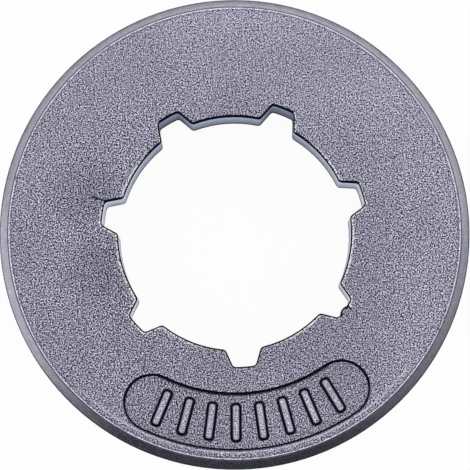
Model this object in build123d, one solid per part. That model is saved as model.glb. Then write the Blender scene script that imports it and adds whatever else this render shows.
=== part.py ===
from build123d import *
import math
import os

# Rim sprocket of a chain saw's clutch drum, cast in one piece. Two bevelled flanges carry the
# chain's straps, the slot between them takes the chain's drive links, and teeth across the slot
# push them. The bore is splined and floats on the drum's hub.
# The ring lies on its plain face: +Z is the axis, and the face with the label panel is up.

# Driving dimensions, in millimetres and degrees.

# Flanges
rim_diameter = 44.35  # where the chain's straps ride
flange_width = 5.5  # along the axis, each
land_width = 2.1  # cylindrical part of each flange, beside the slot
bevel_radial = 0.95  # the steep bevel outside the land draws each face in by this much
bevel_edge_break = 0.1  # broken edge between face and bevel
bevel_foot_radius = 4.0  # run-out of the bevel into the land

# Spline bore
bore_diameter = 21.85  # across the spline tips
spline_count = 7
groove_depth = 1.6
groove_floor_width = 2.1
groove_flank_angle = 20.0  # each flank, from the groove's centre line
groove_mouth_radius = 0.45
groove_floor_radius = 0.4
bore_edge_break = 0.25

# Chain slot and drive teeth
tooth_count = 8
slot_width = 3.0
slot_edge_break = 0.35
hub_wall = 2.0  # between the groove floors and the pocket floors
tooth_drop = 0.8  # tooth tips lie this far below the rim
tooth_tip_width = 5.1
tooth_base_width = 6.0
tooth_tip_radius = 0.6
pocket_floor_radius = 1.6

# Label panel, sunk into the upper face
panel_inner_margin = 2.37  # plain face between the groove floors and the panel
panel_outer_margin = 0.77  # plain face between the panel and the bevel
panel_span = 60.4  # between the centres of the round ends
panel_depth = 0.5
panel_draft = 27.0  # of the panel's walls

# One groove, the panel and one pocket between teeth are centred on this direction, which is -Y.
front_angle = -90.0

# Cutters run this far past the faces that they open.
overrun = 1.0

# Points closer than this count as one.
tolerance = 1e-6

# Worked out from the sizes above
overall_width = 2 * flange_width + slot_width
slot_bottom = flange_width
slot_top = flange_width + slot_width
bevel_axial = flange_width - land_width
rim_radius = rim_diameter / 2
face_radius = rim_radius - bevel_radial
bore_radius = bore_diameter / 2
root_radius = bore_radius + groove_depth
pocket_radius = root_radius + hub_wall
tip_radius = rim_radius - tooth_drop
panel_inside = root_radius + panel_inner_margin
panel_outside = face_radius - panel_outer_margin


def radius_of(point):
    """Distance of a point from the axis."""
    return math.hypot(point.X, point.Y)


def corners_at(outline, radius):
    """Corners of a flat outline that lie at a distance from the axis."""
    return [v for v in outline.vertices() if abs(radius_of(v) - radius) < tolerance]


def flat_edges(body, height, inside, outside):
    """Edges of a body that lie flat at a height, between two distances from the axis."""
    chosen = []
    for edge in body.edges():
        points = [edge @ 0, edge @ 0.5, edge @ 1]
        level = all(abs(point.Z - height) < tolerance for point in points)
        between = all(inside < radius_of(point) < outside for point in points)
        if level and between:
            chosen.append(edge)
    return chosen


def blank():
    """Solid blank turned from its half section, with a steep bevel at each face."""
    section = make_face(
        Polyline(
            (0, 0),
            (face_radius, 0),
            (rim_radius, bevel_axial),
            (rim_radius, overall_width - bevel_axial),
            (face_radius, overall_width),
            (0, overall_width),
            close=True,
        )
    )
    section = chamfer([v for v in section.vertices() if abs(v.X - face_radius) < tolerance], bevel_edge_break)
    section = fillet([v for v in section.vertices() if abs(v.X - rim_radius) < tolerance], bevel_foot_radius)
    return revolve(Plane.XZ * section, Axis.Z)


def tapered_bar(inside, half_inside, outside, half_outside):
    """Outline of a bar along +X that changes width between two distances from the axis."""
    return Polygon(
        (inside, -half_inside),
        (outside, -half_outside),
        (outside, half_outside),
        (inside, half_inside),
        align=None,
    )


def tooth_star():
    """Outline of the hub between the flanges with the drive teeth round it."""
    half_tip = tooth_tip_width / 2
    half_base = tooth_base_width / 2
    slant = (half_base - half_tip) / (tip_radius - pocket_radius)
    inside = bore_radius
    outside = rim_radius
    half_inside = half_base + slant * (pocket_radius - inside)
    half_outside = half_tip - slant * (outside - tip_radius)
    tooth = tapered_bar(inside, half_inside, outside, half_outside) & Circle(tip_radius)
    first_tooth = front_angle + 180 / tooth_count
    star = Circle(pocket_radius) + PolarLocations(0, tooth_count, start_angle=first_tooth) * tooth
    star = fillet(corners_at(star, pocket_radius), pocket_floor_radius)
    return fillet(corners_at(star, tip_radius), tooth_tip_radius)


def chain_space():
    """Cutter for the slot and the drive pockets between the flanges."""
    outline = Circle(rim_radius + overrun) - tooth_star()
    return extrude(Plane.XY.offset(slot_bottom) * outline, slot_width)


def spline_bore():
    """Cutter for the splined bore, with rounded spline corners and groove floors."""
    half_floor = groove_floor_width / 2
    floor = math.sqrt(root_radius**2 - half_floor**2)
    slant = math.tan(math.radians(groove_flank_angle))
    inside = bore_radius - groove_depth
    outside = root_radius
    half_inside = half_floor + slant * (floor - inside)
    half_outside = half_floor - slant * (outside - floor)
    groove = tapered_bar(inside, half_inside, outside, half_outside) & Circle(root_radius)
    outline = Circle(bore_radius) + PolarLocations(0, spline_count, start_angle=front_angle) * groove
    outline = fillet(corners_at(outline, root_radius), groove_floor_radius)
    outline = fillet(corners_at(outline, bore_radius), groove_mouth_radius)
    return extrude(Plane.XY.offset(-overrun) * outline, overall_width + 2 * overrun)


def label_recess():
    """Cutter for the kidney-shaped panel, with drafted walls."""
    middle = (panel_inside + panel_outside) / 2
    centre_line = CenterArc((0, 0), middle, front_angle - panel_span / 2, panel_span)
    outline = SlotArc(centre_line, panel_outside - panel_inside)
    return extrude(Plane.XY.offset(overall_width) * outline, -panel_depth, taper=panel_draft)


def rim_sprocket():
    """The whole casting, with its cut edges broken."""
    body = blank() - chain_space()
    lip_limits = ((tip_radius + rim_radius) / 2, rim_radius + overrun)
    slot_lips = flat_edges(body, slot_bottom, *lip_limits) + flat_edges(body, slot_top, *lip_limits)
    body = chamfer(slot_lips, slot_edge_break)

    body = body - spline_bore()
    bore_limits = (0, pocket_radius)
    bore_edges = flat_edges(body, 0, *bore_limits) + flat_edges(body, overall_width, *bore_limits)
    body = chamfer(bore_edges, bore_edge_break)
    return body - label_recess()


os.makedirs("parts", exist_ok=True)
export_step(rim_sprocket(), "parts/rim_sprocket.step")
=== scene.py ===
import math

import bmesh
import bpy
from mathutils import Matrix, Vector


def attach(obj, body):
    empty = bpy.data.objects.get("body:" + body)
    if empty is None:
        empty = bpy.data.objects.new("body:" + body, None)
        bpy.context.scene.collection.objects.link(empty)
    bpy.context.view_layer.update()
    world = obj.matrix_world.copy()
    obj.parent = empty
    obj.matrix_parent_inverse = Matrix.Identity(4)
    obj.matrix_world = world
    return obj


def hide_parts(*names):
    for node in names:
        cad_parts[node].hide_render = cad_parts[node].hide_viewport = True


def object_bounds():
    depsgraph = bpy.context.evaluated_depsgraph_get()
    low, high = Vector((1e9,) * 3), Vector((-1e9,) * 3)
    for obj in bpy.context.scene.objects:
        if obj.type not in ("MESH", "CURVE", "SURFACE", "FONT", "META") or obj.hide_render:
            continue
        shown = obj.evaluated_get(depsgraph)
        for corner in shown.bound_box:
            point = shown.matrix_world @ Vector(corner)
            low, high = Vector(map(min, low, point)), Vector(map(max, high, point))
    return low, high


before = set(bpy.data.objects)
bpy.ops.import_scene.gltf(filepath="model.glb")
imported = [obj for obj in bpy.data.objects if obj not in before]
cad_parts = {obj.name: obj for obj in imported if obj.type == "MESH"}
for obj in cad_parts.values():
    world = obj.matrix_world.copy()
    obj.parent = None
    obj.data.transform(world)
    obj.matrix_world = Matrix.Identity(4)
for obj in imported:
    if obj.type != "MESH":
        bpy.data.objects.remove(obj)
CAD_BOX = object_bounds()

bl_info = {
    "name": "Rim sprocket",
    "version": (1, 0, 0),
    "blender": (4, 5, 0),
    "location": "View3D > Sidebar > Rim sprocket",
    "description": "Dresses the cast drive ring of a saw's clutch drum and sets its studio",
    "category": "Mesh",
}

NODE = "rim_sprocket"
BODY = "root"
FINISH = "blasted_steel"

# Pieces are in metres, as the frame is. The finish works in millimetres.
MM = 0.001
WIDTH = CAD_BOX[1].z - CAD_BOX[0].z
RIM_RADIUS = (CAD_BOX[1].x - CAD_BOX[0].x) / 2

# Points closer than this count as one, on the CAD model's mesh and on pieces that are modelled here.
CAD_TOUCH = 1e-6
TOUCH = 1e-7

# Short marks on the upper face: start, end and width, in millimetres.
DARK_MARKS = (
    ((10.05, -7.54), (10.46, -7.95), 0.13),
    ((10.40, -8.12), (10.44, -8.16), 0.14),
    ((10.86, -8.11), (10.89, -8.22), 0.12),
    ((-11.84, 3.98), (-13.15, 4.43), 0.14),
    ((-20.0, 1.96), (-19.86, 1.94), 0.12),
)
# Painted glints: bright spots beside the blemish by the burr, where the lips' highlight goes on.
PAINTED_GLINTS = (
    ((10.30, -7.54), (10.44, -7.66), 0.13),
    ((9.96, -7.94), (10.02, -8.0), 0.09),
)
# A mark's ends and sides fade over these shares of its width.
MARK_END = 0.4
MARK_SIDES = (0.7, 0.3)

# Patches of the faces that are darker, or lighter where the share is negative: middle and radius in
# millimetres, and the share by which they change the brightness.
TONE_PATCHES = (
    ((-13.64, 5.07), 5.0, 0.2),
    ((-12.8, -2.4), 4.5, 0.2),
    ((13.8, 13.2), 6.0, -0.09),
)
# A patch is even over this share of its radius.
PATCH_CORE = 0.2

# Noise on the steel: width of its lumps in millimetres, detail and roughness. The streaks' width is in
# steps round the rim, which the grain sets.
MOTTLE = (0.6, 2.0, 0.6)
CLOUDS = (9.0, 3.0, 0.55)
STREAKS = (1.0, 3.0, 0.6)
FLECKS = (0.16, 2.0, 0.6)
FLECK_EDGES = (0.42, 0.54)

# How far the noise changes the brightness of each kind of surface.
MOTTLE_ON_FACES = 0.3
CLOUDS_ON_FACES = 0.4
MOTTLE_ON_BEVELS = 0.7
STREAKS_ON_BEVELS = 0.8
MOTTLE_ON_WALLS = 0.8

# Painted light on the faces: their brightness at the middle radius, and its drift for each millimetre,
# lighter to the right, up the face and outwards.
MIDDLE_RADIUS = 17.0
SHADE = 0.98
SHADE_RIGHT = 0.004
SHADE_UP = 0.007
SHADE_OUT = 0.018

# Least brightness of a grain, painted highlight on the bars' tops, painted shade in a line along the
# inside of the face's edge, and the blue that is added to faces and bevels.
DARKEST_GRAIN = 0.05
BAR_TOP_HIGHLIGHT = 0.75
EDGE_SHADE = 0.4
COLD_TINT = (0.0, 0.0, 0.026)

# Painted light and shade on the bore's walls: brightness at the foot and for each millimetre up or to the
# right, and painted shade below a height in millimetres. Grooves are painted lighter than the walls
# between them, or darker at the back.
WALL_FOOT = 0.75
WALL_RISE = 0.04
WALL_RIGHT = -0.005
FOOT_SHADE = 0.7
FOOT_HEIGHT = (3.5, 1.5)
GROOVE_LIGHT = 0.25
GROOVE_SHADE = 0.53

# How far the bevel is darkened by painted shade beside the face's edge, how strong the painted highlight
# on the panel's front edge is, and the mottle at which the painted edge highlights begin and are whole.
UNDER_EDGE_SHADE = 0.8
PANEL_EDGE_HIGHLIGHT = 0.4
HIGHLIGHT_MOTTLE = (-0.2, -0.02)

# How far bevels and bars are smoother than the faces, and how grain and streaks show as relief.
SMOOTHING = 0.5
GRAIN_ROUGHNESS = 0.1
STREAK_HEIGHT = 0.25
BUMP_STRENGTH = 0.5


class Wire:
    """An output in a node tree. Arithmetic on it adds Math nodes, and node() adds any other node."""

    def __init__(self, socket):
        self.socket = socket

    def node(self, kind, settings, inputs, output=0):
        """Adds a node of this kind beside this one. Its settings come first, then its inputs."""
        tree = self.socket.id_data
        made = tree.nodes.new(kind)
        for name, value in settings.items():
            setattr(made, name, value)
        for name, value in inputs.items():
            if isinstance(value, Wire):
                tree.links.new(value.socket, made.inputs[name])
            else:
                made.inputs[name].default_value = value
        return Wire(made.outputs[output])

    def other(self, output):
        """Another output of the same node."""
        return Wire(self.socket.node.outputs[output])

    def feed(self, shader, name):
        """Links this output to an input of a shader."""
        self.socket.id_data.links.new(self.socket, shader.inputs[name])

    def parts(self):
        """The three numbers of a vector."""
        first = self.node("ShaderNodeSeparateXYZ", {}, {"Vector": self})
        return first, first.other("Y"), first.other("Z")

    def calc(self, operation, *values):
        """A Math node on numbers, of which some may come from nodes."""
        return self.node("ShaderNodeMath", {"operation": operation}, dict(enumerate(values)))

    def __add__(self, value):
        return self.calc("ADD", self, value)

    def __sub__(self, value):
        return self.calc("SUBTRACT", self, value)

    def __mul__(self, value):
        return self.calc("MULTIPLY", self, value)

    def __truediv__(self, value):
        return self.calc("DIVIDE", self, value)

    def __pow__(self, value):
        return self.calc("POWER", self, value)

    def __rsub__(self, value):
        return self.calc("SUBTRACT", value, self)

    def __rpow__(self, value):
        return self.calc("POWER", value, self)

    def __abs__(self):
        return self.calc("ABSOLUTE", self)

    __radd__ = __add__
    __rmul__ = __mul__


def step(value, start, end):
    """0 up to start and 1 from end on, with a soft passage; start may lie above end."""
    if start > end:
        return 1 - step(value, end, start)
    limits = {"Value": value, "From Min": start, "From Max": end}
    return value.node("ShaderNodeMapRange", {"interpolation_type": "SMOOTHSTEP"}, limits)


def between(value, low, high, soft):
    """1 from low to high and 0 elsewhere, with soft passages."""
    return step(value, low - soft, low + soft) * step(value, high + soft, high - soft)


def most(first, second):
    """The larger of two numbers."""
    return first.calc("MAXIMUM", first, second)


def flat_length(x, y):
    """Length of a vector that lies flat."""
    return (x * x + y * y) ** 0.5


def mix(share, first, second):
    """A colour between two others."""
    return share.node("ShaderNodeMix", {"data_type": "RGBA"}, {0: share, 6: first, 7: second}, 2)


def scale(vector, by):
    """A vector or colour times a number, of which one at least comes from a node."""
    source = vector if isinstance(vector, Wire) else by
    return source.node("ShaderNodeVectorMath", {"operation": "SCALE"}, {"Vector": vector, "Scale": by})


def plus(first, second):
    """The sum of two vectors or colours, of which the first comes from a node."""
    return first.node("ShaderNodeVectorMath", {"operation": "ADD"}, {0: first, 1: second})


def rgba(colour):
    """A colour with full cover."""
    return (*colour, 1.0)


def noise(place, size, detail, roughness):
    """Cloudy noise between 0 and 1 whose lumps are about this many millimetres wide."""
    values = {"Vector": place, "Scale": 1 / size, "Detail": detail, "Roughness": roughness}
    return place.node("ShaderNodeTexNoise", {}, values)


def stroke(at, start, end, width):
    """1 along a short straight mark on the upper face, from start to end in millimetres."""
    run = Vector(end) - Vector(start)
    ahead = run / run.length
    off_x = at.x - start[0]
    off_y = at.y - start[1]
    along = off_x * ahead.x + off_y * ahead.y
    across = off_y * ahead.x - off_x * ahead.y
    outer, core = MARK_SIDES
    ends = between(along, 0.0, run.length, MARK_END * width)
    sides = step(abs(across), outer * width, core * width)
    return ends * sides * at.upper


def strokes(at, marks):
    """1 along each of several marks."""
    return sum(stroke(at, *mark) for mark in marks)


def soft_spot(at, centre, radius):
    """1 at a place in millimetres, fading to 0 at a distance from it."""
    away = flat_length(at.x - centre[0], at.y - centre[1])
    return step(away, radius, PATCH_CORE * radius)


class Surface:
    """The shaded point: its place in millimetres and the way that it faces."""

    # The upper face's skin: a depth, and a height that only the upper half reaches
    SKIN_DEPTH = (0.3, 0.2)
    UPPER_HALF = (7.0, 8.0)

    def __init__(self, tree):
        source = tree.nodes.new("ShaderNodeTexCoord")
        self.mm = scale(Wire(source.outputs["Object"]), 1 / MM)
        self.x, self.y, self.z = self.mm.parts()
        self.facing_x, self.facing_y, upwards = Wire(source.outputs["Normal"]).parts()
        self.level = abs(upwards)
        self.radius = flat_length(self.x, self.y)
        self.outwards = self.radius - MIDDLE_RADIUS
        self.depth = self.z.calc("MINIMUM", self.z, WIDTH / MM - self.z)
        self.upper = step(self.depth, *self.SKIN_DEPTH) * step(self.z, *self.UPPER_HALF)


class Zones:
    """Where each kind of surface lies on the ring, as shares between 0 and 1.

    Radii are from the axis and depths from the nearer face, in millimetres. A level is the share of the
    facing along the axis. Two limits say where a zone starts and where it is whole, and three give its
    low end, its high end and its softness.
    """

    FLAT_LEVEL = (0.90, 0.98)

    BEYOND_FACE = (-0.04, 0.01)
    FLANGE_DEPTH = (5.5, 5.2)
    BEVEL_DEPTH = (3.4, 2.9)
    RIM_EDGE_DEPTH = (0.03, 0.085, 0.015)
    UNDER_EDGE_DEPTH = (0.12, 0.52, 0.05)
    INSIDE_EDGE = (-0.15, -0.03, 0.03)

    BURR_REACH = (0.75, 0.6)
    BURR_CAP = 0.05
    BORE_RADIUS = (13.0, 12.85)
    BORE_DEPTH = (0.004, 0.012)
    GROOVE_RADIUS = (11.2, 12.3)
    HIGH_Y = (0.0, 11.0)
    SIDE_X = (2.0, 8.0)
    LIP_END = (0.08, 0.02)
    LIP_EDGE_SHARE = (0.5, 0.4)
    LIP_HEADING = (-0.75, -0.45)
    NEVER_ZERO = 0.01
    FRINGE_RADIUS = (11.1, 11.24, 0.04)
    FRINGE_Y = (9.0, 6.0)
    FRINGE_SHARE = 0.7

    LABEL_RADIUS = (13.4, 21.0, 0.1)
    LABEL_DEPTH = (0.7, 0.6)
    WALL_LEVEL = (0.93, 0.7)
    LIT_FACING = (-0.2, 0.2)
    LIT_DEPTH = (0.22, 0.12)
    SHADOW_RADIUS = (15.1, 15.27, 0.04)
    SHADOW_DEPTH = (0.3, 0.4)
    SHADOW_Y = (-9.0, -11.0)
    SHADOW_SHARE = 0.7
    BAR_DEPTH = (0.05, 0.3, 0.02)
    BAR_LEVEL = (0.65, 0.92)
    PANEL_EDGE_RADIUS = (20.5, 20.63, 0.04)
    PANEL_EDGE_DEPTH = (0.1, 0.05)
    PANEL_EDGE_Y = (-13.0, -14.5)

    def __init__(self, at, finish, burr):
        self.flat = step(at.level, *self.FLAT_LEVEL)
        self.find_rim(at, finish.face_radius / MM)
        self.find_bore(at, finish.lip_width / MM, burr)
        self.find_panel(at)

    def find_rim(self, at, face_edge):
        """The turned outside, and the lines along the edge between it and a face: a painted highlight on
        the edge, and painted shade on the bevel below it and inside the face's edge.
        """
        beyond = at.radius - face_edge
        outside = step(beyond, *self.BEYOND_FACE)
        self.turned = outside * step(at.depth, *self.FLANGE_DEPTH)
        self.bevel = self.turned * step(at.depth, *self.BEVEL_DEPTH)
        self.rim_edge = outside * between(at.depth, *self.RIM_EDGE_DEPTH)
        self.under_edge = outside * between(at.depth, *self.UNDER_EDGE_DEPTH)
        self.inside_edge = between(beyond, *self.INSIDE_EDGE) * self.flat

    def find_bore(self, at, lip, burr):
        """The bore's walls, their lips in painted shade, and a painted highlight along the lips' edge and
        on the face beside them, left out at the back and strongest at the sides. The burr's cap counts as
        face.
        """
        burr_x = math.cos(burr.angle) * burr.radius / MM
        burr_y = math.sin(burr.angle) * burr.radius / MM
        on_burr = step(flat_length(at.x - burr_x, at.y - burr_y), *self.BURR_REACH)
        below = at.depth - self.BURR_CAP * on_burr
        self.bore = step(at.radius, *self.BORE_RADIUS) * step(below, *self.BORE_DEPTH)
        self.groove = step(at.radius, *self.GROOVE_RADIUS)
        self.high = step(at.y, *self.HIGH_Y)
        self.lip = self.bore * step(at.depth - lip, *self.LIP_END)

        sideways = step(abs(at.x), *self.SIDE_X)
        heading = at.facing_y / (flat_length(at.facing_x, at.facing_y) + self.NEVER_ZERO)
        lit = step(heading, *self.LIP_HEADING) * (1 - on_burr)
        lip_highlight = self.lip * step(at.depth / lip, *self.LIP_EDGE_SHARE) * lit
        fringe = between(at.radius, *self.FRINGE_RADIUS) * self.flat * step(at.y, *self.FRINGE_Y)
        self.lip_highlight = lip_highlight * (0.5 + 0.5 * sideways) + self.FRINGE_SHARE * fringe * sideways

    def find_panel(self, at):
        """The label panel's walls in painted shade, except the upper part of walls that face up the face,
        with a painted shadow at the inner wall's foot; the tops of its bars; and its outer edge at the
        front.
        """
        label = between(at.radius, *self.LABEL_RADIUS) * step(at.depth, *self.LABEL_DEPTH)
        steep = step(at.level, *self.WALL_LEVEL)
        lit = step(at.facing_y, *self.LIT_FACING) * step(at.depth, *self.LIT_DEPTH)
        foot = between(at.radius, *self.SHADOW_RADIUS) * step(at.depth, *self.SHADOW_DEPTH)
        shadow = foot * step(at.y, *self.SHADOW_Y)
        self.wall_shade = most(label * steep * (1 - lit), self.SHADOW_SHARE * shadow)
        self.bar_top = label * between(at.depth, *self.BAR_DEPTH) * step(at.level, *self.BAR_LEVEL)
        # Painted highlight on the panel's outer edge at the front.
        edge = between(at.radius, *self.PANEL_EDGE_RADIUS) * step(at.depth, *self.PANEL_EDGE_DEPTH)
        self.panel_edge = edge * step(at.y, *self.PANEL_EDGE_Y)


class Grain:
    """The steel's unevenness, from fine grains to wide clouds, each about 0, and the grain's strength."""

    # Tones of a dark and a bright grain, and a dot's core and edge as shares of the spacing
    GRAIN_EDGES = (0.3, 0.7)
    DOT_EDGES = (0.15, 0.55)
    DOT_SCATTER = 0.8
    BRIGHT_DOT_SHIFT = (31.7, 12.3, 0.0)

    # How often the streaks change round the ring and along its axis
    LAP_ROUND = 9.0
    LAP_ALONG = 2.2

    # The grain's strength at the centre, and what it loses to the right, upwards, outwards at the left
    # and on the bars, by millimetres or between limits in millimetres
    STRENGTH = 1.15
    LESS_RIGHT = 0.008
    LESS_UP = 0.4
    UP_Y = (0.0, 20.0)
    LESS_OUT = 0.05
    LEFT_X = (0.0, -8.0)
    LESS_ON_BARS = 0.5

    def __init__(self, at, zone, finish):
        cells = {"Vector": at.mm, "Scale": MM / finish.grain_size}
        tones = at.mm.node("ShaderNodeTexVoronoi", {}, cells, "Color")
        tone = tones.node("ShaderNodeSeparateColor", {}, {"Color": tones})
        self.fine = step(tone, *self.GRAIN_EDGES) - 0.5
        bright_place = plus(at.mm, self.BRIGHT_DOT_SHIFT)
        self.dots = self.ground(at.mm, finish.pit_size) - self.ground(bright_place, finish.pit_size)
        self.mottle = noise(at.mm, *MOTTLE) - 0.5
        self.clouds = noise(at.mm, *CLOUDS) - 0.5
        lap = {
            "X": self.LAP_ROUND * at.x / at.radius,
            "Y": self.LAP_ROUND * at.y / at.radius,
            "Z": self.LAP_ALONG * at.z,
        }
        self.streaks = noise(at.mm.node("ShaderNodeCombineXYZ", {}, lap), *STREAKS) - 0.5

        by_place = self.STRENGTH - self.LESS_RIGHT * at.x - self.LESS_UP * step(at.y, *self.UP_Y)
        by_radius = 1 - self.LESS_OUT * at.outwards * step(at.x, *self.LEFT_X)
        self.strength = (1 - self.LESS_ON_BARS * zone.bar_top) * by_place * by_radius

    def ground(self, place, spacing):
        """0 in dots that are strewn over a face at this spacing, and 1 between them."""
        values = {"Vector": place, "Scale": MM / spacing, "Randomness": self.DOT_SCATTER}
        nearest = place.node("ShaderNodeTexVoronoi", {"voronoi_dimensions": "2D"}, values)
        return step(nearest, *self.DOT_EDGES)


def cast_colour(at, zone, grain, finish):
    """Colour of the grained faces and of the turned outside."""
    patches = sum(share * soft_spot(at, middle, radius) for middle, radius, share in TONE_PATCHES)
    # Painted light: the faces grow lighter to the right, up the face and outwards, and the patches darken
    # or lighten them.
    shade = SHADE + SHADE_UP * at.y + SHADE_RIGHT * at.x + SHADE_OUT * at.outwards - patches
    contrast = finish.grain_contrast * grain.fine + finish.pit_contrast * grain.dots * zone.flat
    speckle = most(1 + grain.strength * contrast, DARKEST_GRAIN)
    drift = math.e ** (MOTTLE_ON_FACES * grain.mottle + CLOUDS_ON_FACES * grain.clouds)
    marks = 1 + zone.turned * (MOTTLE_ON_BEVELS * grain.mottle + STREAKS_ON_BEVELS * grain.streaks)
    # Painted highlight on the raised bars' tops.
    bar_highlight = 1 + BAR_TOP_HIGHLIGHT * zone.bar_top
    colour = mix(zone.bevel, rgba(finish.face_colour), rgba(finish.bevel_colour))
    colour = scale(colour, speckle * drift * shade * marks * bar_highlight)
    # Painted shade in a thin line just inside the face's outer edge.
    return plus(scale(colour, 1 - EDGE_SHADE * zone.inside_edge), COLD_TINT)


def wall_colour(at, zone, grain, finish):
    """Colour of the bore's walls, with painted light and shade: paler at the sides than at the back, and
    darker at the foot.
    """
    height = (WALL_FOOT + WALL_RISE * at.z) * (1 - FOOT_SHADE * step(at.z, *FOOT_HEIGHT))
    groove = 1 + zone.groove * (GROOVE_LIGHT - GROOVE_SHADE * zone.high)
    lightness = height * (1 + MOTTLE_ON_WALLS * grain.mottle) * groove * (1 + WALL_RIGHT * at.x)
    return scale(mix(zone.high, rgba(finish.lit_bore_colour), rgba(finish.bore_colour)), lightness)


def blasted_steel(finish, burr):
    """Cast steel: grained faces, smoother bevels, clean bore walls with painted light and shade, and
    painted shade and painted highlights along edges.
    """
    material = bpy.data.materials.new(FINISH)
    material.use_nodes = True
    tree = material.node_tree
    steel = tree.nodes["Principled BSDF"]
    steel.inputs["Specular IOR Level"].default_value = 0.0
    steel.inputs["Specular Tint"].default_value = rgba(finish.edge_tint)
    at = Surface(tree)
    zone = Zones(at, finish, burr)
    grain = Grain(at, zone, finish)

    # Painted shade on the bore's lips, the panel's walls and the bevel under the face's edge, and real
    # dark marks.
    shade_and_marks = zone.lip + zone.wall_shade + UNDER_EDGE_SHADE * zone.under_edge + strokes(at, DARK_MARKS)
    # Painted highlights along the face's edge and the panel's front edge, broken up by the mottle.
    edge_highlight = (zone.rim_edge + PANEL_EDGE_HIGHLIGHT * zone.panel_edge) * step(grain.mottle, *HIGHLIGHT_MOTTLE)
    flecks = step(noise(at.mm, *FLECKS), *FLECK_EDGES)
    # Painted highlights along the bore's lips and beside them, broken into flecks, and the painted glints
    # by the burr.
    highlights = most(zone.lip_highlight * flecks, strokes(at, PAINTED_GLINTS))
    colour = mix(zone.bore, cast_colour(at, zone, grain, finish), wall_colour(at, zone, grain, finish))
    colour = mix(shade_and_marks, colour, rgba(finish.shade_and_mark_colour))
    colour = mix(edge_highlight, colour, rgba(finish.edge_highlight_colour))
    colour = mix(highlights, colour, rgba(finish.lip_highlight_colour))
    colour.feed(steel, "Base Color")

    dull = most(shade_and_marks, zone.bore * (0.5 + 0.5 * zone.high)) * (1 - edge_highlight)
    (finish.metallic * (1 - dull)).feed(steel, "Metallic")

    relief = grain.fine * (1 - SMOOTHING * zone.turned - SMOOTHING * zone.bar_top)
    roughness = finish.face_roughness + (finish.bevel_roughness - finish.face_roughness) * zone.turned
    (roughness + GRAIN_ROUGHNESS * relief).feed(steel, "Roughness")

    height = relief * (1 - zone.bore) + STREAK_HEIGHT * zone.turned * grain.streaks
    bump = {"Strength": BUMP_STRENGTH, "Distance": finish.grain_depth, "Height": height}
    height.node("ShaderNodeBump", {}, bump).feed(steel, "Normal")
    return material


def steel_of(scene):
    """The casting's finish, made once."""
    return bpy.data.materials.get(FINISH) or blasted_steel(scene.rim_finish, scene.rim_burr)


def pick(piece):
    """Makes a piece the only one selected."""
    bpy.ops.object.select_all(action="DESELECT")
    piece.select_set(True)
    bpy.context.view_layer.objects.active = piece


def choose(piece, kind, test):
    """In edit mode, selects the faces or edges that pass a test, and nothing else."""
    bpy.ops.mesh.select_mode(type=kind)
    bpy.ops.mesh.select_all(action="DESELECT")
    shape = bmesh.from_edit_mesh(piece.data)
    for item in shape.faces if kind == "FACE" else shape.edges:
        if test(item):
            item.select_set(True)
    bmesh.update_edit_mesh(piece.data)


def settle():
    """Puts the active piece's place, turn and size into its mesh."""
    bpy.ops.object.transform_apply(location=True, rotation=True, scale=True)


def turn_about_axis(angle):
    """Turns the selected piece about +Z. The operator itself counts the other way round."""
    bpy.ops.transform.rotate(value=-angle, orient_axis="Z", center_override=(0, 0, 0))
    settle()


def close_up(piece, angle):
    """Merges doubles, turns the faces outwards and smooths all but the sharp edges."""
    pick(piece)
    bpy.ops.object.mode_set(mode="EDIT")
    bpy.ops.mesh.select_all(action="SELECT")
    bpy.ops.mesh.remove_doubles(threshold=TOUCH)
    bpy.ops.mesh.normals_make_consistent(inside=False)
    bpy.ops.object.mode_set(mode="OBJECT")
    bpy.ops.object.shade_smooth_by_angle(angle=angle)


def dress(piece, context):
    """Gives a piece the casting's finish and body."""
    piece.data.materials.clear()
    piece.data.materials.append(steel_of(context.scene))
    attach(piece, BODY)


def surface_height(x, y):
    """Height of the casting's upper surface over a point."""
    hit, place, _, _ = bpy.data.objects["casting"].ray_cast((x, y, 2 * WIDTH), (0, 0, -1))
    if not hit:
        raise RuntimeError(f"nothing of the casting lies under {x:.4f}, {y:.4f}")
    return place.z


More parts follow.
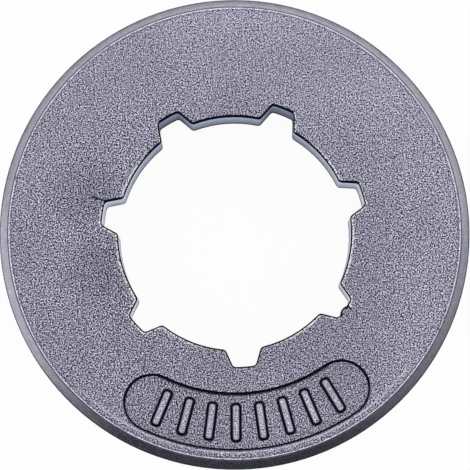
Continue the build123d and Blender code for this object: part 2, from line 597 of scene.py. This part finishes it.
class RimFinish(bpy.types.PropertyGroup):
    """Colours and grain of the cast steel."""

    face_colour: bpy.props.FloatVectorProperty(
        name="Faces", description="Blasted flat faces",
        subtype="COLOR", min=0, max=1, default=(0.255, 0.25, 0.293),
    )
    bevel_colour: bpy.props.FloatVectorProperty(
        name="Bevels", description="Turned bevels",
        subtype="COLOR", min=0, max=1, default=(0.375, 0.371, 0.468),
    )
    # Colour of the bore's walls at the back: the shaded copy of the lit colour below.
    bore_colour: bpy.props.FloatVectorProperty(
        name="Bore", description="Spline bore's walls",
        subtype="COLOR", min=0, max=1, default=(0.42, 0.46, 0.585),
    )
    # Lit copy of the bore's colour: painted light on the walls at the bore's sides.
    lit_bore_colour: bpy.props.FloatVectorProperty(
        name="Bore sides", description="Paler walls at the bore's sides",
        subtype="COLOR", min=0, max=1, default=(0.68, 0.70, 0.79),
    )
    # Colour of the painted highlight along the face's edge and the panel's front edge.
    edge_highlight_colour: bpy.props.FloatVectorProperty(
        name="Painted edge highlights", description="Bright edges",
        subtype="COLOR", min=0, max=1, default=(0.78, 0.775, 0.85),
    )
    # Colour of the painted shade on lips, walls and corners, and of the dark marks.
    shade_and_mark_colour: bpy.props.FloatVectorProperty(
        name="Dark lines", description="Lips, walls and corners",
        subtype="COLOR", min=0, max=1, default=(0.006, 0.006, 0.01),
    )
    # Colour of the painted highlight along the bore's lips and beside them.
    lip_highlight_colour: bpy.props.FloatVectorProperty(
        name="Bore lips", description="Bright outer edge of the bore's lips",
        subtype="COLOR", min=0, max=1, default=(0.95, 0.95, 0.97),
    )
    edge_tint: bpy.props.FloatVectorProperty(
        name="Grazing light", description="Share mirrored at a low angle",
        subtype="COLOR", min=0, max=1, default=(0.97, 0.97, 0.97),
    )
    face_radius: bpy.props.FloatProperty(
        name="Face radius", description="Where the flat faces end",
        unit="LENGTH", precision=5, default=21.125 * MM,
    )
    lip_width: bpy.props.FloatProperty(
        name="Lip", description="Width of the bore's broken edges",
        unit="LENGTH", precision=5, default=0.25 * MM,
    )
    grain_size: bpy.props.FloatProperty(
        name="Grain", description="Width of the blasted grain",
        unit="LENGTH", precision=5, default=0.06 * MM,
    )
    grain_depth: bpy.props.FloatProperty(
        name="Grain depth", description="Height of the grain",
        unit="LENGTH", precision=5, default=0.03 * MM,
    )
    grain_contrast: bpy.props.FloatProperty(
        name="Grain contrast", description="How far grains differ in brightness",
        min=0, default=0.6,
    )
    pit_size: bpy.props.FloatProperty(
        name="Pits", description="Distance between blasted pits, and between the bright points among them",
        unit="LENGTH", precision=5, default=0.16 * MM,
    )
    pit_contrast: bpy.props.FloatProperty(
        name="Pit contrast", description="How far the pits and the bright points stand out",
        min=0, default=1.8,
    )
    face_roughness: bpy.props.FloatProperty(
        name="Face roughness", description="Of the blasted faces",
        subtype="FACTOR", min=0, max=1, default=0.5,
    )
    bevel_roughness: bpy.props.FloatProperty(
        name="Bevel roughness", description="Of the turned bevels",
        subtype="FACTOR", min=0, max=1, default=0.15,
    )
    metallic: bpy.props.FloatProperty(
        name="Metal", description="Share of bare metal",
        subtype="FACTOR", min=0, max=1, default=0.95,
    )


class RimTally(bpy.types.PropertyGroup):
    """Raised bars in the label panel, one for each tooth."""

    count: bpy.props.IntProperty(name="Bars", description="One for each tooth", min=2, default=8)
    middle: bpy.props.FloatProperty(
        name="Middle", description="Distance of the bars' middles from the axis",
        unit="LENGTH", precision=5, default=17.75 * MM,
    )
    length: bpy.props.FloatProperty(
        name="Length", description="Along the radius",
        unit="LENGTH", precision=5, default=3.5 * MM,
    )
    width: bpy.props.FloatProperty(
        name="Width", description="Of the rounded top",
        unit="LENGTH", precision=5, default=0.6 * MM,
    )
    gap: bpy.props.FloatProperty(
        name="Below face", description="From the bars' tops to the face",
        unit="LENGTH", precision=5, default=0.08 * MM,
    )
    spread: bpy.props.FloatProperty(
        name="Spread", description="From the first bar to the last",
        subtype="ANGLE", default=math.radians(54),
    )


class RimBurr(bpy.types.PropertyGroup):
    """Lump left by casting in one groove of the bore."""

    angle: bpy.props.FloatProperty(
        name="Direction", description="From +X",
        subtype="ANGLE", default=math.radians(-39.6),
    )
    radius: bpy.props.FloatProperty(
        name="Radius", description="From the axis",
        unit="LENGTH", precision=5, default=12.6 * MM,
    )
    width: bpy.props.FloatProperty(
        name="Width", description="Along the groove's floor",
        unit="LENGTH", precision=5, default=1.1 * MM,
    )
    rise: bpy.props.FloatProperty(
        name="Rise", description="Into the bore",
        unit="LENGTH", precision=5, default=0.27 * MM,
    )
    length: bpy.props.FloatProperty(
        name="Length", description="Of its thick end, along the axis",
        unit="LENGTH", precision=5, default=0.8 * MM,
    )


class RimStudio(bpy.types.PropertyGroup):
    """Camera, floor and lights."""

    azimuth: bpy.props.FloatProperty(
        name="Azimuth", description="Camera's turn about the axis",
        subtype="ANGLE", default=math.radians(-4.3),
    )
    elevation: bpy.props.FloatProperty(
        name="Elevation", description="Camera's angle above the floor",
        subtype="ANGLE", default=math.radians(88.31),
    )
    distance: bpy.props.FloatProperty(
        name="Distance", description="From the camera to the upper face",
        unit="LENGTH", default=0.7,
    )
    lens: bpy.props.FloatProperty(name="Lens", description="Focal length", unit="CAMERA", default=571.3)
    aside: bpy.props.FloatVectorProperty(
        name="Aim", description="Right and up from the face's centre",
        size=2, unit="LENGTH", precision=5, default=(0.0375 * MM, -0.14 * MM),
    )
    floor_colour: bpy.props.FloatVectorProperty(
        name="Floor", description="Plain pale floor",
        subtype="COLOR", min=0, max=1, default=(0.92, 0.92, 0.92),
    )
    floor_glow: bpy.props.FloatProperty(
        name="Floor white", description="Share of plain white on the floor; the rest takes shadow",
        subtype="FACTOR", min=0, max=1, default=0.95,
    )
    card_colour: bpy.props.FloatVectorProperty(
        name="Card", description="Dark card that only the metal mirrors",
        subtype="COLOR", min=0, max=1, default=(0.015, 0.015, 0.02),
    )
    room_light: bpy.props.FloatProperty(
        name="Room", description="Light from all round",
        min=0, default=1.0,
    )
    key_power: bpy.props.FloatProperty(
        name="Key", description="Soft lamp overhead",
        unit="POWER", min=0, default=0.5,
    )
    key_place: bpy.props.FloatVectorProperty(
        name="Key place", description="Where the lamp hangs",
        subtype="XYZ", unit="LENGTH", default=(0.0, 0.16, 0.9),
    )
    key_size: bpy.props.FloatProperty(
        name="Key size", description="Width of the square lamp",
        unit="LENGTH", min=0, default=0.7,
    )


class RIM_OT_casting(bpy.types.Operator):
    """Copies the ring from the CAD model, merges it and gives it its cast finish"""

    bl_idname = "rim_sprocket.casting"
    bl_label = "Casting"

    SHARP_ANGLE = math.radians(50)
    FLAT_ANGLE = math.radians(0.2)
    LARGE_FACES_FIRST = 100

    def execute(self, context):
        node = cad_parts[NODE]
        casting = bpy.data.objects.new("casting", node.data.copy())
        context.collection.objects.link(casting)
        pick(casting)
        bpy.ops.mesh.customdata_custom_splitnormals_clear()
        bpy.ops.object.mode_set(mode="EDIT")
        bpy.ops.mesh.select_all(action="SELECT")
        bpy.ops.mesh.remove_doubles(threshold=CAD_TOUCH)
        bpy.ops.mesh.dissolve_limited(angle_limit=self.FLAT_ANGLE)
        bpy.ops.object.mode_set(mode="OBJECT")
        bpy.ops.object.shade_smooth_by_angle(angle=self.SHARP_ANGLE)
        even = casting.modifiers.new("even_faces", "WEIGHTED_NORMAL")
        even.keep_sharp = True
        even.weight = self.LARGE_FACES_FIRST
        bpy.ops.object.modifier_apply(modifier=even.name)
        dress(casting, context)
        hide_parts(NODE)
        return {"FINISHED"}


class RIM_OT_tally_bars(bpy.types.Operator):
    """Models one raised bar on the label panel's floor and copies it along the panel"""

    bl_idname = "rim_sprocket.tally_bars"
    bl_label = "Tally bars"

    SHARP_ANGLE = math.radians(45)
    BROADER_BELOW = 1.35  # width at the lower end of the sides, for each unit at the top
    FOOT_SHARE = 0.25  # of the height, where the foot runs out into the floor
    RUN_OUT = 0.5  # how much further the foot reaches, for each unit of width
    SINK = 0.04 * MM  # of the foot's end into the floor
    CORNER_SHARE = 0.45  # of the width, rounded at the bar's ends
    CORNER_STEPS = 5
    CROWN_SHARE = 0.36  # of the width, rounded along the top
    CROWN_STEPS = 4
    LEVEL = 0.9  # a face whose normal has more than this along the axis is level
    SAME_HEIGHT = 1e-6

    def execute(self, context):
        tally = context.scene.rim_tally
        ground = surface_height(0, -tally.middle)
        top = WIDTH - tally.gap
        if top <= ground:
            raise RuntimeError("the tally bars have no height above the panel's floor")
        foot = ground + self.FOOT_SHARE * (top - ground)
        broad = self.BROADER_BELOW * tally.width
        bpy.ops.object.select_all(action="DESELECT")
        bpy.ops.mesh.primitive_cube_add(
            size=1, location=(0, -tally.middle, (foot + top) / 2), scale=(broad, tally.length, top - foot)
        )
        bar = context.object
        bar.name = "tally_bar"
        settle()
        self.shape(bar, tally, ground, top, broad)
        close_up(bar, self.SHARP_ANGLE)
        turn_about_axis(-tally.spread / 2)
        dress(bar, context)
        for _ in range(tally.count - 1):
            bpy.ops.object.duplicate(linked=False)
            context.object.parent = None
            turn_about_axis(tally.spread / (tally.count - 1))
            dress(context.object, context)
        return {"FINISHED"}

    def shape(self, bar, tally, ground, top, broad):
        """Drafts the sides, rounds the ends and the top, and runs the foot out into the floor."""
        corner = self.CORNER_SHARE * tally.width
        crown = self.CROWN_SHARE * tally.width
        draft = (tally.width / broad, 1 - (broad - tally.width) / tally.length, 1)
        run_out = (1 + self.RUN_OUT, 1 + self.RUN_OUT * broad / tally.length, 1)
        bpy.ops.object.mode_set(mode="EDIT")
        choose(bar, "FACE", lambda face: face.normal.z > self.LEVEL)
        bpy.ops.transform.resize(value=draft, center_override=(0, -tally.middle, top))
        choose(bar, "EDGE", lambda edge: abs(edge.verts[0].co.z - edge.verts[1].co.z) > self.SAME_HEIGHT)
        bpy.ops.mesh.bevel(offset=corner, segments=self.CORNER_STEPS, affect="EDGES")
        choose(bar, "FACE", lambda face: face.normal.z < -self.LEVEL)
        lowest = min(vertex.co.z for vertex in bmesh.from_edit_mesh(bar.data).verts)
        drop = (0, 0, ground - self.SINK - lowest)
        bpy.ops.mesh.extrude_region_move(TRANSFORM_OT_translate={"value": drop})
        bpy.ops.transform.resize(value=run_out, center_override=(0, -tally.middle, ground))
        choose(bar, "EDGE", lambda edge: min(end.co.z for end in edge.verts) > top - self.SAME_HEIGHT)
        bpy.ops.mesh.bevel(offset=crown, segments=self.CROWN_STEPS, affect="EDGES")
        bpy.ops.object.mode_set(mode="OBJECT")


class RIM_OT_burr(bpy.types.Operator):
    """Models the casting's lump in one groove of the bore"""

    bl_idname = "rim_sprocket.burr"
    bl_label = "Burr"

    SHARP_ANGLE = math.radians(50)
    ROUND_STEPS = 20
    RINGS = 14
    BELOW_FACE = 0.003 * MM
    BACK_SHARE = 0.6  # of the rise, where the lump is cut off inside the groove's floor
    TAIL_SHARE = 0.2  # of the length, below the middle, where the tail begins
    TAIL_LEAN = 0.3  # of the rise, by which the tail's end goes back into the floor

    def execute(self, context):
        size = context.scene.rim_burr
        middle = WIDTH - 0.5 * size.length
        bpy.ops.object.select_all(action="DESELECT")
        bpy.ops.mesh.primitive_uv_sphere_add(
            segments=self.ROUND_STEPS,
            ring_count=self.RINGS,
            radius=0.5,
            location=(size.radius, 0, middle - self.BELOW_FACE),
            scale=(2 * size.rise, size.width, size.length),
        )
        burr = context.object
        burr.name = "burr"
        settle()
        bpy.ops.object.mode_set(mode="EDIT")
        bpy.ops.mesh.select_all(action="SELECT")
        bpy.ops.mesh.bisect(
            plane_co=(size.radius + self.BACK_SHARE * size.rise, 0, 0),
            plane_no=(1, 0, 0),
            threshold=TOUCH,
            clear_outer=True,
            use_fill=True,
        )
        tail = middle - self.TAIL_SHARE * size.length
        choose(burr, "FACE", lambda face: face.calc_center_median().z < tail)
        bpy.ops.transform.translate(value=(self.TAIL_LEAN * size.rise, 0, -size.length))
        bpy.ops.object.mode_set(mode="OBJECT")
        close_up(burr, self.SHARP_ANGLE)
        turn_about_axis(size.angle)
        dress(burr, context)
        return {"FINISHED"}


class RIM_OT_studio(bpy.types.Operator):
    """Lays the floor, sets the soft light and aims the camera along the bore"""

    bl_idname = "rim_sprocket.studio"
    bl_label = "Studio"

    FLOOR_SIZE = 3.0
    FLOOR_DROP = 0.01 * MM
    SENSOR = 36.0
    NEAREST = 0.01
    FARTHEST = 10.0

    # The card's size, and its cover by bearing in degrees, by direction and by millimetres from the rim,
    # where it is a painted shadow
    CARD_OUTSIDE = 70 * MM
    CARD_UNDER_RIM = 0.5 * MM
    CARD_LIFT = 0.1 * MM
    CARD_SIDES = 96
    CARD_ROUGHNESS = 0.9
    FRONT_FROM_RIGHT = (38.0, -78.0)
    FRONT_FROM_LEFT = (-164.0, -122.0)
    LEFT_DIRECTION = (-0.988, -0.156)
    LEFT_LIMITS = (0.88, 0.985)
    CONTACT_SHADOW_LIMITS = (5.9, 5.3)
    NARROWER_LEFT = 0.8
    FAINT_COVER = 0.22

    def execute(self, context):
        studio = context.scene.rim_studio
        context.scene.view_settings.view_transform = "Standard"
        self.floor(context, studio)
        self.card(context, studio)
        self.room(context, studio)
        self.key_lamp(context, studio)
        self.camera(context, studio)
        return {"FINISHED"}

    def floor(self, context, studio):
        """A pale floor that is seen as white, with the ring's shadow."""
        bpy.ops.object.select_all(action="DESELECT")
        bpy.ops.mesh.primitive_plane_add(size=self.FLOOR_SIZE, location=(0, 0, -self.FLOOR_DROP))
        floor = context.object
        floor.name = "floor"
        material = bpy.data.materials.new("pale_floor")
        material.use_nodes = True
        tree = material.node_tree
        tree.nodes.remove(tree.nodes["Principled BSDF"])
        camera = Wire(tree.nodes.new("ShaderNodeLightPath").outputs["Is Camera Ray"])
        seen = most(camera, most(camera.other("Is Glossy Ray"), camera.other("Is Transmission Ray")))
        pale = seen.node("ShaderNodeBsdfDiffuse", {}, {"Color": rgba(studio.floor_colour)})
        glow = seen.node("ShaderNodeEmission", {}, {"Color": (1, 1, 1, 1), "Strength": 1.0})
        both = seen.node("ShaderNodeMixShader", {}, {0: studio.floor_glow * seen, 1: pale, 2: glow})
        both.feed(tree.nodes["Material Output"], "Surface")
        floor.data.materials.append(material)

    def card(self, context, studio):
        """A dark card on the floor round the ring, which only the metal mirrors: a painted reflection of
        dark surroundings in front, and a painted shadow of the ring next to the rim.
        """
        inside = RIM_RADIUS - self.CARD_UNDER_RIM
        wider = self.CARD_OUTSIDE / inside
        middle = (0, 0, self.CARD_LIFT)
        bpy.ops.object.select_all(action="DESELECT")
        bpy.ops.mesh.primitive_circle_add(
            vertices=self.CARD_SIDES, radius=inside, fill_type="NOTHING", location=middle
        )
        card = context.object
        card.name = "flag"
        settle()
        bpy.ops.object.mode_set(mode="EDIT")
        bpy.ops.mesh.select_all(action="SELECT")
        bpy.ops.mesh.extrude_edges_move()
        bpy.ops.transform.resize(value=(wider, wider, 1), center_override=middle)
        bpy.ops.object.mode_set(mode="OBJECT")
        card.data.materials.append(self.black_card(studio))
        card.visible_camera = False
        card.visible_diffuse = False
        card.visible_shadow = False

    def black_card(self, studio):
        """The card's finish: dense in front of the ring and, as a painted shadow, close to the rim, and
        faint elsewhere.
        """
        material = bpy.data.materials.new("black_card")
        material.use_nodes = True
        tree = material.node_tree
        paper = tree.nodes["Principled BSDF"]
        paper.inputs["Base Color"].default_value = rgba(studio.card_colour)
        paper.inputs["Roughness"].default_value = self.CARD_ROUGHNESS
        x, y, _ = scale(Wire(tree.nodes.new("ShaderNodeTexCoord").outputs["Object"]), 1 / MM).parts()
        radius = flat_length(x, y)
        bearing = x.calc("ARCTAN2", y, x) * math.degrees(1)
        front = step(bearing, *self.FRONT_FROM_RIGHT) * step(bearing, *self.FRONT_FROM_LEFT)
        left_x, left_y = self.LEFT_DIRECTION
        left = step((left_x * x + left_y * y) / radius, *self.LEFT_LIMITS)
        from_rim = radius + self.NARROWER_LEFT * left - RIM_RADIUS / MM
        # Painted shadow of the ring on the floor, which only the metal mirrors.
        contact_shadow = step(from_rim, *self.CONTACT_SHADOW_LIMITS)
        most(contact_shadow, most(front, self.FAINT_COVER * (1 - left))).feed(paper, "Alpha")
        return material

    def room(self, context, studio):
        """Even white light from all round."""
        world = bpy.data.worlds.new("white_room")
        world.use_nodes = True
        context.scene.world = world
        light = world.node_tree.nodes["Background"]
        light.inputs["Color"].default_value = (1, 1, 1, 1)
        light.inputs["Strength"].default_value = studio.room_light

    def key_lamp(self, context, studio):
        """A square soft lamp overhead, aimed at the upper face."""
        bpy.ops.object.light_add(type="AREA", location=studio.key_place)
        lamp = context.object
        lamp.name = "key"
        to_face = Vector((0, 0, WIDTH)) - Vector(studio.key_place)
        lamp.rotation_euler = to_face.to_track_quat("-Z", "Y").to_euler()
        lamp.data.size = studio.key_size
        lamp.data.energy = studio.key_power

    def camera(self, context, studio):
        """A long lens that looks almost straight down on the upper face."""
        turn = studio.azimuth
        lift = studio.elevation
        back = Vector((math.sin(turn) * math.cos(lift), -math.cos(turn) * math.cos(lift), math.sin(lift)))
        facing = (-back).to_track_quat("-Z", "Y")
        right = facing @ Vector((1, 0, 0))
        up = facing @ Vector((0, 1, 0))
        aim = Vector((0, 0, WIDTH)) + right * studio.aside[0] + up * studio.aside[1]
        bpy.ops.object.camera_add(location=aim + back * studio.distance, rotation=facing.to_euler())
        camera = context.object
        camera.data.lens = studio.lens
        camera.data.sensor_width = self.SENSOR
        camera.data.clip_start = self.NEAREST
        camera.data.clip_end = self.FARTHEST
        context.scene.camera = camera


class RIM_PT_sidebar(bpy.types.Panel):
    """Sizes, finishes and steps of the rim sprocket"""

    bl_idname = "RIM_PT_sidebar"
    bl_label = "Rim sprocket"
    bl_space_type = "VIEW_3D"
    bl_region_type = "UI"
    bl_category = "Rim sprocket"

    STEPS = (
        ("rim_finish", "rim_sprocket.casting"),
        ("rim_tally", "rim_sprocket.tally_bars"),
        ("rim_burr", "rim_sprocket.burr"),
        ("rim_studio", "rim_sprocket.studio"),
    )

    def draw(self, context):
        for settings, operator in self.STEPS:
            box = self.layout.box()
            group = getattr(context.scene, settings)
            for name in group.__annotations__:
                box.prop(group, name)
            box.operator(operator)


GROUPS = {"rim_finish": RimFinish, "rim_tally": RimTally, "rim_burr": RimBurr, "rim_studio": RimStudio}
CLASSES = (*GROUPS.values(), RIM_OT_casting, RIM_OT_tally_bars, RIM_OT_burr, RIM_OT_studio, RIM_PT_sidebar)


def register():
    for kind in CLASSES:
        bpy.utils.register_class(kind)
    for name, group in GROUPS.items():
        setattr(bpy.types.Scene, name, bpy.props.PointerProperty(type=group))


def unregister():
    for name in GROUPS:
        delattr(bpy.types.Scene, name)
    for kind in reversed(CLASSES):
        bpy.utils.unregister_class(kind)


def main():
    register()
    bpy.ops.rim_sprocket.casting()
    bpy.ops.rim_sprocket.tally_bars()
    bpy.ops.rim_sprocket.burr()
    bpy.ops.rim_sprocket.studio()
    bpy.context.view_layer.update()


if __name__ == "__main__":
    main()
